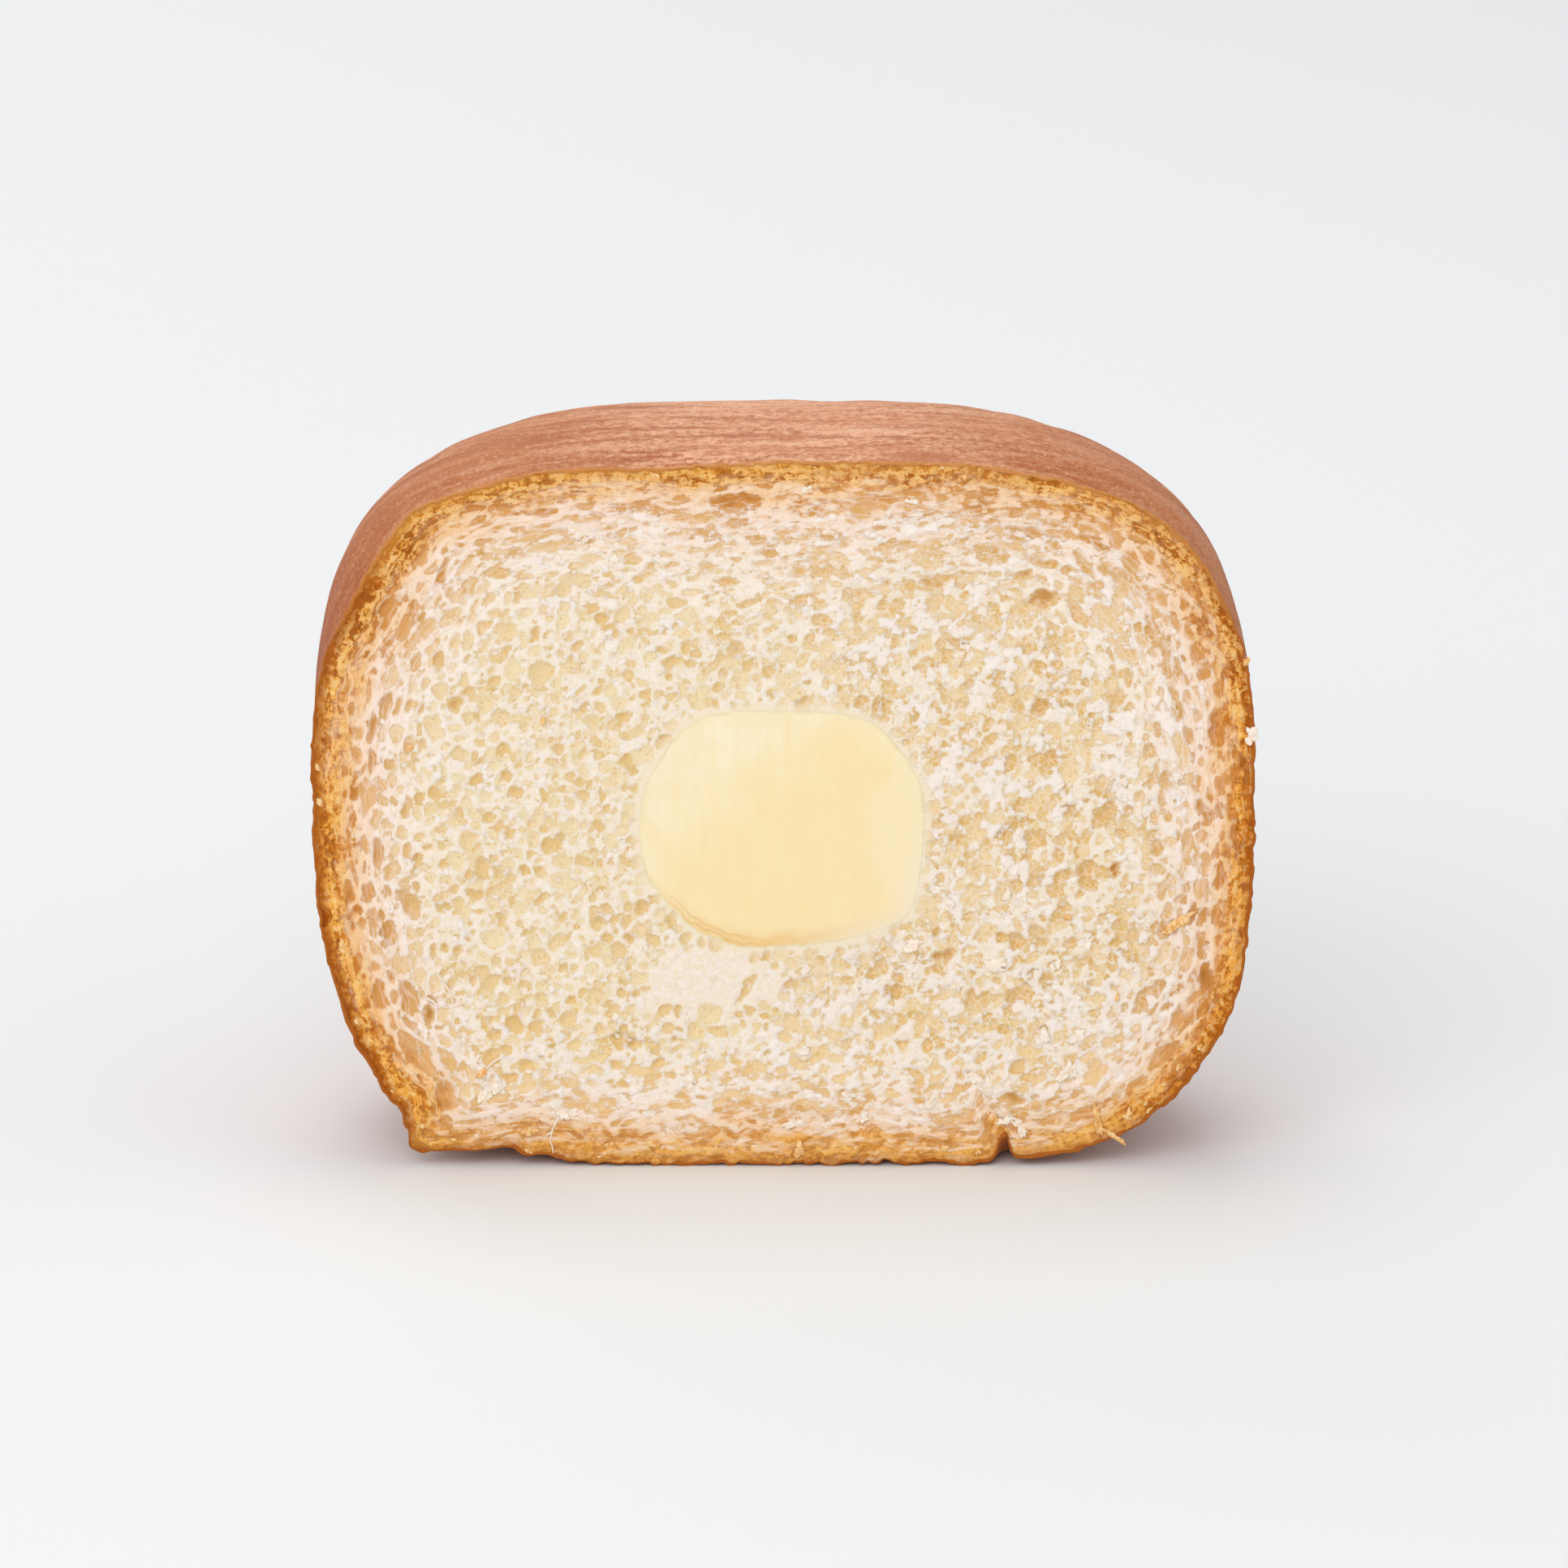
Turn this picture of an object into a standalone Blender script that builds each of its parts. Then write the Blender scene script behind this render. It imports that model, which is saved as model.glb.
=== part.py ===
"""Half of a cheese bread bun, cut open to show the lump of cheese baked into its crumb.

The bun is a ball of dough proved in a ring, so its sections are superellipses: nearly flat on
top and below, with upright sides. It was laid on a tray, which flattens its base, and sliced a
little in front of its middle. Lengths are metres, +Z is up, and the cut face looks along -Y.
"""

import math

import bmesh
import bpy
from mathutils import Matrix, Vector

MM = 0.001

# The bun's driving sizes
HALF_WIDTH = 49.35 * MM  # of the cut face
CROWN_ABOVE_WAIST = 36.1 * MM
WAIST_HEIGHT = 40.7 * MM  # height of the widest level above the tray
BASE_BELOW_WAIST = 40.9 * MM  # a little more than the waist's height, so the tray flattens it
DEPTH_RADIUS = 45.0 * MM  # from the middle of the whole bun to its back
CUT_BEFORE_MIDDLE = 11.0 * MM
DEPTH = CUT_BEFORE_MIDDLE + DEPTH_RADIUS

# How square the bun is, as superellipse exponents: 2 is an ellipse
CROWN_SQUARENESS = 3.33
BASE_SQUARENESS = 3.94
PROFILE_SQUARENESS = 3.6  # of its side view above the waist
BASE_PROFILE_SQUARENESS = 6.0  # and below it, where the dough sank flat onto the tray
BEHIND_SQUARENESS = (3.75, 3.7)  # crown and base of the sections behind the cut

# Behind the cut the knife has not squashed the bun, so its section is smoother and fuller
BEHIND_HALF_WIDTH = 47.7 * MM
BEHIND_CROWN = 36.7 * MM
SQUASH_REACH = 5.75 * MM  # how fast the cut edge's own shape dies away
LEAN = -0.7 * MM  # the bun sits slightly to the left behind its cut
LEAN_REACH = 20.0 * MM

# Where the cut edge departs from the superellipse: angle round the waist and half width in
# degrees, then how far it stands out
CUT_EDGE = {
    "torn foot, left": (-136.0, 4.5, 2.7 * MM),
    "flank above the foot": (-151.0, 9.0, -1.0 * MM),
    "shoulder dent, left": (153.0, 8.0, -1.4 * MM),
    "shoulder corner, left": (142.0, 4.0, 1.0 * MM),
    "flat of the crown": (112.0, 12.0, -0.7 * MM),
    "shoulder facet, right": (25.0, 5.0, -0.6 * MM),
    "waist, right": (0.0, 18.0, 0.5 * MM),
    "waist, left": (180.0, 16.0, 0.5 * MM),
    "flank above the base, right": (-35.0, 8.0, -0.7 * MM),
}

# The fold where the base's crust was tucked under, which runs back from the cut and closes
FOLD_X = 23.9 * MM
FOLD_HALF_WIDTH = 1.5 * MM
FOLD_HEIGHT = 4.4 * MM
FOLD_REACH = 24.0 * MM
FOLD_SIDES = 12

# The lump of cheese, with its middle behind the cut
CHEESE_MIDDLE = Vector((-0.2 * MM, 9.0 * MM - DEPTH / 2, 36.6 * MM))
CHEESE_HALF = Vector((16.2 * MM, 15.5 * MM, 14.5 * MM))
CHEESE_SQUARENESS = 2.9
CHEESE_FLAT_BASE = 0.92  # the lump's lower half is this much flatter than its upper half
GAP = 0.3 * MM  # between the cheese and the crumb round it

ROUND_STEPS = 112
DEPTH_STEPS = 38
CHEESE_ROUND_STEPS = 44
CHEESE_DEPTH_STEPS = 22
CUTTER_MARGIN = 20 * MM

CUT_Y = -DEPTH / 2
MIDDLE_Y = CUT_Y + CUT_BEFORE_MIDDLE


def clear_scene():
    for obj in list(bpy.data.objects):
        bpy.data.objects.remove(obj, do_unlink=True)


def new_collection(name):
    collection = bpy.data.collections.new(name)
    bpy.context.scene.collection.children.link(collection)
    return collection


def new_material(name, color, roughness):
    material = bpy.data.materials.new(name)
    material.use_nodes = True
    shader = material.node_tree.nodes["Principled BSDF"]
    shader.inputs["Base Color"].default_value = (*color, 1.0)
    shader.inputs["Roughness"].default_value = roughness
    shader.inputs["Metallic"].default_value = 0.0
    material.diffuse_color = (*color, 1.0)
    return material


def new_object(name, bm, collection, material=None):
    mesh = bpy.data.meshes.new(name)
    bm.to_mesh(mesh)
    bm.free()
    if material:
        mesh.materials.append(material)
        mesh.shade_smooth()
    obj = bpy.data.objects.new(name, mesh)
    collection.objects.link(obj)
    return obj


def superellipse(angle, half_width, above, below, squareness_above, squareness_below):
    """Distance from the waist's middle to the section's edge, at an angle from +X."""
    up = math.sin(angle) >= 0
    height, power = (above, squareness_above) if up else (below, squareness_below)
    across = abs(math.cos(angle)) / half_width
    along = abs(math.sin(angle)) / height
    return (across**power + along**power) ** (-1 / power)


def swell(degrees, centre, half_width):
    """A smooth hump over the angle, 1 at its centre."""
    away = (degrees - centre + 180) % 360 - 180
    return math.exp(-((away / half_width) ** 2))


def cut_section(angle):
    radius = superellipse(
        angle,
        HALF_WIDTH,
        CROWN_ABOVE_WAIST,
        BASE_BELOW_WAIST,
        CROWN_SQUARENESS,
        BASE_SQUARENESS,
    )
    degrees = math.degrees(angle)
    for centre, half_width, height in CUT_EDGE.values():
        radius += height * swell(degrees, centre, half_width)
    return radius


def section_behind(angle):
    return superellipse(
        angle, BEHIND_HALF_WIDTH, BEHIND_CROWN, BASE_BELOW_WAIST, *BEHIND_SQUARENESS
    )


def shrink(share, power):
    """How much of the full section is left at this share of the way to the bun's end."""
    return max(0.0, 1 - abs(share) ** power) ** (1 / power)


def bun_point(direction):
    """Where a point of the unit sphere, with its poles on Y, lies on the bun's crust."""
    angle = math.atan2(direction.z, direction.x)
    share = max(-1.0, min(1.0, direction.y))
    cut_share = CUT_BEFORE_MIDDLE / DEPTH_RADIUS
    profile = PROFILE_SQUARENESS if direction.z > 0 else BASE_PROFILE_SQUARENESS
    wide = shrink(share, 2) / shrink(cut_share, 2)
    tall = shrink(share, profile) / shrink(cut_share, profile)
    y = MIDDLE_Y + DEPTH_RADIUS * share
    behind = max(0.0, y - CUT_Y)
    squash = math.exp(-behind / SQUASH_REACH)
    radius = cut_section(angle) * squash + section_behind(angle) * (1 - squash)
    lean = LEAN * min(1.0, behind / LEAN_REACH)
    return Vector(
        (
            radius * math.cos(angle) * wide + lean,
            y,
            WAIST_HEIGHT + radius * math.sin(angle) * tall,
        )
    )


def unit_sphere(round_steps, depth_steps):
    """A unit sphere whose poles lie on the Y axis."""
    bm = bmesh.new()
    bmesh.ops.create_uvsphere(bm, u_segments=round_steps, v_segments=depth_steps, radius=1)
    bmesh.ops.rotate(bm, verts=bm.verts, matrix=Matrix.Rotation(math.radians(-90), 3, "X"))
    return bm


def whole_bun(name, collection, material):
    bm = unit_sphere(ROUND_STEPS, DEPTH_STEPS)
    for vertex in bm.verts:
        vertex.co = bun_point(vertex.co)
    bmesh.ops.recalc_face_normals(bm, faces=bm.faces)
    return new_object(name, bm, collection, material)


def cheese_lump(name, collection, gap=0.0, material=None):
    """The whole lump, a rounded block with a flatter base, grown by the gap."""
    bm = unit_sphere(CHEESE_ROUND_STEPS, CHEESE_DEPTH_STEPS)
    for vertex in bm.verts:
        direction = vertex.co.normalized()
        total = sum(abs(part) ** CHEESE_SQUARENESS for part in direction)
        on_block = direction * total ** (-1 / CHEESE_SQUARENESS)
        drop = CHEESE_FLAT_BASE if direction.z < 0 else 1.0
        half = CHEESE_HALF + Vector((gap, gap, gap))
        vertex.co = Vector(
            (on_block.x * half.x, on_block.y * half.y, on_block.z * half.z * drop)
        )
    bmesh.ops.recalc_face_normals(bm, faces=bm.faces)
    lump = new_object(name, bm, collection, material)
    lump.location = CHEESE_MIDDLE
    return lump


def cutter_box(name, collection, low, high):
    bm = bmesh.new()
    bmesh.ops.create_cube(bm, size=1)
    bmesh.ops.scale(bm, verts=bm.verts, vec=high - low)
    box = new_object(name, bm, collection)
    box.location = (low + high) / 2
    return box


def fold_cutter(name, collection):
    """A flattened cone lying along the base, widest at the cut and closing towards the back."""
    bm = bmesh.new()
    length = FOLD_REACH + CUTTER_MARGIN
    bmesh.ops.create_cone(
        bm,
        cap_ends=True,
        segments=FOLD_SIDES,
        radius1=length / FOLD_REACH,
        radius2=0,
        depth=length,
    )
    bmesh.ops.scale(bm, verts=bm.verts, vec=Vector((FOLD_HALF_WIDTH, FOLD_HEIGHT, 1)))
    fold = new_object(name, bm, collection)
    fold.rotation_euler.x = math.radians(-90)
    fold.location = Vector((FOLD_X, CUT_Y + FOLD_REACH - length / 2, 0))
    return fold


def hide_cutter(obj):
    obj.hide_render = True
    obj.display_type = "WIRE"


def cut_away(obj, cutter, name):
    modifier = obj.modifiers.new(name, "BOOLEAN")
    modifier.operation = "DIFFERENCE"
    modifier.solver = "EXACT"
    modifier.object = cutter


def main():
    clear_scene()
    parts = new_collection("cheese_bread")
    cutters = new_collection("cutters")

    bread = whole_bun("bread", parts, new_material("bread", (0.87, 0.70, 0.50), 0.85))
    cheese = cheese_lump("cheese", parts, material=new_material("cheese", (0.95, 0.83, 0.52), 0.45))

    reach = HALF_WIDTH + CUTTER_MARGIN
    knife = cutter_box(
        "knife",
        cutters,
        Vector((-reach, MIDDLE_Y - DEPTH_RADIUS - CUTTER_MARGIN, -CUTTER_MARGIN)),
        Vector((reach, CUT_Y, WAIST_HEIGHT + CROWN_ABOVE_WAIST + CUTTER_MARGIN)),
    )
    tray = cutter_box(
        "tray",
        cutters,
        Vector((-reach, CUT_Y - 3 * CUTTER_MARGIN, -CUTTER_MARGIN)),
        Vector((reach, MIDDLE_Y + DEPTH_RADIUS + CUTTER_MARGIN, 0)),
    )
    pocket = cheese_lump("cheese_pocket", cutters, gap=GAP)
    fold = fold_cutter("fold", cutters)
    for cutter in (knife, tray, pocket, fold):
        hide_cutter(cutter)

    cut_away(bread, tray, "flattened by the tray")
    cut_away(bread, fold, "folded base")
    cut_away(bread, knife, "sliced")
    cut_away(bread, pocket, "pocket round the cheese")
    cut_away(cheese, knife, "sliced")

    origin = bpy.data.objects.new("bun_origin", None)
    parts.objects.link(origin)
    for obj in (bread, cheese):
        obj.parent = origin


main()
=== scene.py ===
"""The looks of a cheese bread bun, cut upright: crust, crumb, cheese and what the knife tore loose.

Lengths are metres, +Z is up, and the cut face looks along -Y.
"""

import functools
import math
import types

import bmesh
import bpy
import numpy as np
from mathutils import Matrix, Vector, kdtree
from mathutils.bvhtree import BVHTree


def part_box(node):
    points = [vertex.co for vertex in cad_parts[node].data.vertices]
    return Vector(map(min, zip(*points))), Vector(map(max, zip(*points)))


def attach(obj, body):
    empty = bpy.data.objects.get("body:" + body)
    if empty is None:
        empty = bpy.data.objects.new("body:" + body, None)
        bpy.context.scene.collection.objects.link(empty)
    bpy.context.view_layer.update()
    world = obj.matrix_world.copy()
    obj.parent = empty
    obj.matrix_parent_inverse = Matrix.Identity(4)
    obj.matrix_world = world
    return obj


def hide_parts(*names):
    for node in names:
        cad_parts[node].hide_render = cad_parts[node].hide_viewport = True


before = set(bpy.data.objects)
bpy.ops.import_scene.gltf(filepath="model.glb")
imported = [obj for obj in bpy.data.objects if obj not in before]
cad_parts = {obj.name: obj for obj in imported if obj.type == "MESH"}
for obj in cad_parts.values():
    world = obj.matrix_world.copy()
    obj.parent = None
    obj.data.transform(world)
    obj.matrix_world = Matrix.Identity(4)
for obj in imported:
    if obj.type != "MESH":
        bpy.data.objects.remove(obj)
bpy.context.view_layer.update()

# ----------------------------------------
# The crust: the bun's skin, dough that dried and browned in the oven. It is half a millimetre
# thick or so and matt, with fine wrinkles from cooling, and it goes all round the crumb from the
# knife's cut. Under the base it was tucked into a short fold.
# ----------------------------------------
MM = 0.001
bread_low, bread_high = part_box("bread")
CUT_Y = bread_low.y
CUT_BEFORE_MIDDLE = 11 * MM
WAIST = Vector((0, CUT_Y + CUT_BEFORE_MIDDLE, 40.7 * MM))
BUN_RADIUS = 42 * MM  # on the cut face, on average
OUTSIDE = 0.2  # where the probing rays start, well clear of the bun

CRUST_STEPS = 900  # round the bun
FRONT_RINGS = 26  # from the cut to the bun's middle
BACK_RINGS = 58  # from there to its back
SMOOTH_RINGS = 6  # at the back, where the wrinkles run out
FRONT_CROWDING, BACK_CROWDING = 1.2, 1.15  # how much closer together each stretch's first rings lie
JUST_BEHIND = 0.02 * MM  # the cut's edge is probed this far behind the cut
BARK_SOFTENING = math.radians(1.5)  # evens out the CAD's flat facets, round the bun
RING_SOFTENING = 1.7 * MM  # and from ring to ring
MIRRORED_RINGS = 13  # repeated in front of the cut, so that its ring has neighbours on both sides
NOISE_CELLS = 64  # each way, before the dough's noise repeats

FOLD_ANGLE = math.radians(-57.2)
FOLD_GAP = (math.radians(-63.5), math.radians(-54.5))  # where the CAD's own notch is
FOLD_WIDTHS = (math.radians(2.3), math.radians(0.4))  # left and right of its top
FOLD_HEIGHT = 3.1 * MM
FOLD_REACH = 5 * MM
TUCKED_LIP = (26.2 * MM, 0.6 * MM, 2.6 * MM, 1.8 * MM)  # across, up, size, how far it is pushed

# Where the cut edge is torn in: angle round the bun and half width in degrees, depth
FRAYED_EDGE = (
    (-139.8, 2.6, 1.0 * MM),
    (-135.3, 1.7, -1.1 * MM),
    (-127.2, 2.4, 0.8 * MM),
    (-121.5, 3.0, 0.2 * MM),
    (-69.0, 2.5, 0.5 * MM),
)
FRAY_REACH = 3.5 * MM

CRUST_THICKNESS = 0.3 * MM
CRUST_LIP = 1.6 * MM  # how far behind the cut its edge turns into its plain inner side
CRUST_BACKING = 1.1 * MM
CRUST_CORE_RINGS = (*range(10, 75, 8), 80, 84)  # the rings of its inner side
CORE_STRIDE = 15  # an inner side has one point for this many of the skin's


@functools.cache
def random_heights(seed):
    return np.random.default_rng(seed).uniform(-1, 1, (NOISE_CELLS,) * 3)


def dough_noise(points, size, seed):
    """Smooth random swells between -1 and 1, about size across, at an array of points."""
    heights = random_heights(seed)
    scaled = points / size
    cell = np.floor(scaled).astype(int)
    share = scaled - cell
    share = share * share * (3 - 2 * share)
    total = np.zeros(len(points))
    for corner in np.ndindex(2, 2, 2):
        weight = np.where(corner, share, 1 - share).prod(axis=1)
        at = (cell + corner) % NOISE_CELLS
        total += weight * heights[at[:, 0], at[:, 1], at[:, 2]]
    return total


def node_skin(node):
    """A CAD node's surface, ready to be probed with rays."""
    loose = bmesh.new()
    loose.from_mesh(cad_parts[node].data)
    skin = BVHTree.FromBMesh(loose)
    loose.free()
    return skin


def circle(angles):
    """Points on an upright circle of radius 1 round the bun's axis."""
    return np.stack([np.cos(angles), 0 * angles, np.sin(angles)], axis=-1)


def probe_bread():
    """Distances from the bun's axis to the CAD bread's outer skin, ring by ring from the cut."""
    skin = node_skin("bread")
    front = CUT_Y + CUT_BEFORE_MIDDLE * np.linspace(0, 1, FRONT_RINGS + 1) ** FRONT_CROWDING
    front[0] += JUST_BEHIND
    lifts = np.radians(90) * np.linspace(0, 1, BACK_RINGS + 1)[1:] ** BACK_CROWDING
    hubs = np.concatenate([front, np.full(BACK_RINGS, WAIST.y)])
    lifts = np.concatenate([np.zeros(FRONT_RINGS + 1), lifts])
    angles = np.arange(CRUST_STEPS) * 2 * np.pi / CRUST_STEPS
    aims = circle(angles) * np.cos(lifts)[:, None, None]
    aims[..., 1] = np.sin(lifts)[:, None]
    reach = np.zeros(aims.shape[:2])
    for ring, hub_y in enumerate(hubs):
        hub = Vector((0, hub_y, WAIST.z))
        for step in range(CRUST_STEPS):
            aim = Vector(aims[ring, step])
            hit = skin.ray_cast(hub + aim * OUTSIDE, -aim)[0]
            reach[ring, step] = (hit - hub).length
    return angles, hubs, lifts, aims, reach


def signed(angle):
    """An angle turned into the range from -pi to pi."""
    return (angle + np.pi) % (2 * np.pi) - np.pi


def fill_notch(angles, reach):
    """Closes the CAD's plain notch, so that a finer fold can be laid in its place."""
    turned = signed(angles)
    order = np.argsort(turned)
    kept = order[(turned[order] < FOLD_GAP[0]) | (turned[order] > FOLD_GAP[1])]
    return np.array([np.interp(turned, turned[kept], row[kept]) for row in reach])


def soften_facets(lifts, hubs, reach):
    """Rounds off the CAD's facets, round the bun and along it."""
    waves = np.arange(CRUST_STEPS // 2 + 1)
    quiet = np.exp(-0.5 * (BARK_SOFTENING * waves) ** 2)
    reach = np.fft.irfft(np.fft.rfft(reach, axis=1) * quiet, n=CRUST_STEPS, axis=1)
    along = (hubs - CUT_Y) + lifts * reach.mean()
    ahead = slice(1, MIRRORED_RINGS + 1)
    padded_along = np.concatenate([-along[ahead][::-1], along])
    padded = np.concatenate([2 * reach[:1] - reach[ahead][::-1], reach])
    weights = np.exp(-0.5 * ((along[:, None] - padded_along) / RING_SOFTENING) ** 2)
    weights *= np.gradient(padded_along)
    weights /= weights.sum(axis=1, keepdims=True)
    return weights @ padded


def fold_depth(angles, behind):
    """How far the tucked fold goes in, at angles round the bun and a distance behind the cut."""
    away = signed(angles - FOLD_ANGLE)
    share = np.where(away < 0, -away / FOLD_WIDTHS[0], away / FOLD_WIDTHS[1])
    closing = np.clip(1 - behind / FOLD_REACH, 0, 1) ** 1.5
    return FOLD_HEIGHT * np.exp(-(share**2)) * closing


ring_angles, ring_hubs, ring_lifts, ring_aims, skin_reach = probe_bread()
skin_reach = soften_facets(ring_lifts, ring_hubs, fill_notch(ring_angles, skin_reach))
ring_behind = ring_hubs - CUT_Y + ring_lifts * skin_reach.mean()


def frayed_edge(angles, behind):
    """How far the cut edge is torn in, which is mostly where it met the tray."""
    depth = 0 * angles
    for angle, half_width, height in FRAYED_EDGE:
        depth = depth + height * np.exp(-((np.degrees(signed(angles)) - angle) / half_width) ** 2)
    edge = circle(angles) * BUN_RADIUS
    low = np.clip(-np.sin(angles) * 2 - 0.9, 0, 1)
    ragged = dough_noise(edge, 1.1 * MM, 15) + 0.6 * dough_noise(edge, 0.5 * MM, 16)
    depth = depth + (0.1 + 0.26 * low) * MM * np.maximum(0.5 + ragged, 0)
    return depth * np.exp(-behind / FRAY_REACH)


ring_inset = fold_depth(ring_angles, ring_behind[:, None])
ring_inset = ring_inset + frayed_edge(ring_angles, ring_behind[:, None])
hub_points = np.stack([0 * ring_hubs, ring_hubs, 0 * ring_hubs + WAIST.z], axis=-1)


def skin_points(inset):
    """The bun's skin as a table of points, ring by ring, moved in by the inset."""
    reach = skin_reach - ring_inset - inset
    return hub_points[:, None, :] + ring_aims * reach[..., None]


def bark_height():
    """How far the crust's wrinkles, lumps and torn edge stand out, ring by ring."""
    flat = skin_points(0.0).reshape(-1, 3)
    wrinkles = dough_noise(flat * (0.3, 1.4, 0.3), 1.6 * MM, 11) * 0.07 * MM
    lumps = dough_noise(flat * (1.0, 1.5, 1.0), 5.0 * MM, 12) * 0.16 * MM
    near_cut = np.exp(-np.repeat(ring_behind, CRUST_STEPS) / (0.8 * MM))
    torn = dough_noise(flat, 0.7 * MM, 13) * 0.16 * MM * near_cut
    height = (wrinkles + lumps + torn).reshape(skin_reach.shape)
    height[-SMOOTH_RINGS:] *= np.linspace(1, 0, SMOOTH_RINGS)[:, None]
    return height


ring_inset = ring_inset - bark_height()
cut_ring_reach = skin_reach[0] - ring_inset[0]


def extruded(bm, edges):
    """Extrudes an open rim. Returns the new rim's vertices and edges."""
    made = bmesh.ops.extrude_edge_only(bm, edges=edges)["geom"]
    verts = [part for part in made if isinstance(part, bmesh.types.BMVert)]
    rim = [part for part in made if isinstance(part, bmesh.types.BMEdge) and part.is_boundary]
    return verts, rim


def ringed_dome(bm, rings, stride, points):
    """A circle extruded ring after ring, laid on the table of points and closed in a point at
    its last ring. Returns the edges of its open rim."""
    turn = Matrix.Rotation(math.radians(-90), 4, "X")
    steps = CRUST_STEPS // stride
    verts = bmesh.ops.create_circle(bm, segments=steps, radius=1, matrix=turn)["verts"]
    rim = list(dict.fromkeys(edge for vertex in verts for edge in vertex.link_edges))
    first_rim = rim
    for place, ring in enumerate(rings):
        if place:
            verts, rim = extruded(bm, rim)
        for vertex in verts:
            vertex.tag = True
            vertex.co.y = place
    for vertex in bm.verts:
        if vertex.tag:
            turn = math.atan2(vertex.co.z, vertex.co.x) / (2 * math.pi)
            step = round(turn * CRUST_STEPS) % CRUST_STEPS
            vertex.co = points[rings[round(vertex.co.y)], step]
            vertex.tag = False
    bmesh.ops.pointmerge(bm, verts=verts, merge_co=points[-1].mean(axis=0))
    return first_rim


def pull_in(bm, edges, inward, back):
    """Extrudes a rim towards the bun's axis and backwards. Returns the new rim's edges."""
    verts, rim = extruded(bm, edges)
    for vertex in verts:
        out = Vector((vertex.co.x, 0, vertex.co.z - WAIST.z))
        vertex.co -= out.normalized() * inward
        vertex.co.y += back
    return rim


def tuck_lip(bm):
    """Pushes the fold's right lip in under the base, so that it stands upright."""
    across, up, size, amount = TUCKED_LIP
    for vertex in bm.verts:
        away = math.hypot(vertex.co.x - across, vertex.co.z - up) / size
        behind = max(vertex.co.y - CUT_Y, 0) / FOLD_REACH
        if away < 3 and behind < 1:
            vertex.co.x -= amount * math.exp(-(away**2)) * (1 - behind) ** 1.5


def finished_piece(name, bm, material):
    """An object in the scene from a bmesh, shaded smooth and with its faces outwards."""
    mesh = bpy.data.meshes.new(name)
    bmesh.ops.recalc_face_normals(bm, faces=bm.faces)
    for face in bm.faces:
        face.smooth = True
    bm.to_mesh(mesh)
    bm.free()
    mesh.materials.append(material)
    piece = bpy.data.objects.new(name, mesh)
    bpy.context.scene.collection.objects.link(piece)
    return piece


def new_finish(name):
    """A new material and the object coordinates that its nodes read."""
    material = bpy.data.materials.new(name)
    material.use_nodes = True
    return material, material.node_tree.nodes.new("ShaderNodeTexCoord").outputs["Object"]


def feed(socket, value):
    """Sets a socket to a plain value, or links another socket to it."""
    if isinstance(value, bpy.types.NodeSocket):
        socket.id_data.links.new(value, socket)
    else:
        socket.default_value = value


def set_shader(material, inputs):
    """Feeds the inputs of a material's Principled shader. Returns the material."""
    shader = material.node_tree.nodes["Principled BSDF"]
    for name, value in inputs.items():
        feed(shader.inputs[name], value)
    return material


def node_beside(source, kind, output, inputs, **settings):
    """A new node in the tree of the source, a socket. Returns the new node's output."""
    node = source.id_data.nodes.new("ShaderNode" + kind)
    for name, value in settings.items():
        setattr(node, name, value)
    for name, value in inputs.items():
        feed(node.inputs[name], value)
    return node.outputs[output]


def place_part(place, axis):
    return node_beside(place, "SeparateXYZ", axis, {"Vector": place})


def mark(place, name, output="Fac"):
    """What the mesh's own layer of that name says."""
    return node_beside(place, "Attribute", output, {}, attribute_name=name)


def stretched(place, scale):
    """Coordinates scaled differently along each axis, for a grain with a direction."""
    return node_beside(place, "Mapping", "Vector", {"Vector": place, "Scale": scale})


def grain(place, size, detail=2.0, roughness=0.55, distortion=0.0):
    """Noise between 0 and 1 whose swells are about size across."""
    inputs = {"Vector": place, "Scale": 1 / size, "Detail": detail}
    inputs |= {"Roughness": roughness, "Distortion": distortion}
    return node_beside(place, "TexNoise", "Fac", inputs)


def between(value, low, high, to_low=0.0, to_high=1.0):
    """Goes smoothly from to_low to to_high as the value goes from low to high."""
    inputs = dict(enumerate((value, low, high, to_low, to_high)))
    return node_beside(value, "MapRange", "Result", inputs, interpolation_type="SMOOTHSTEP")


def sums(operation, *values):
    """A sum on one to three values, of which the first is a socket."""
    return node_beside(values[0], "Math", "Value", dict(enumerate(values)), operation=operation)


plus, minus, times, times_plus, larger, unsigned = (
    functools.partial(sums, operation)
    for operation in ("ADD", "SUBTRACT", "MULTIPLY", "MULTIPLY_ADD", "MAXIMUM", "ABSOLUTE")
)


def linear(color):
    """A colour in the usual 0 to 255 steps, as the values that shaders take. A socket stays."""
    if isinstance(color, bpy.types.NodeSocket):
        return color
    shares = (part / 255 for part in color)
    lights = (s / 12.92 if s <= 0.04045 else ((s + 0.055) / 1.055) ** 2.4 for s in shares)
    return (*lights, 1.0)


def tint(share, first, second):
    """The first colour, going to the second by the share."""
    # A mixing node's colours are its inputs 6 and 7 and its output 2
    inputs = {"Factor": share, 6: linear(first), 7: linear(second)}
    return node_beside(share, "Mix", 2, inputs, data_type="RGBA", clamp_factor=True)


def relief(height, distance, strength, under=None):
    """The surface's normal with the height's bumps, over those of the relief under it."""
    inputs = {"Strength": strength, "Distance": distance, "Height": height}
    if under:
        inputs["Normal"] = under
    return node_beside(height, "Bump", "Normal", inputs)


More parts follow.
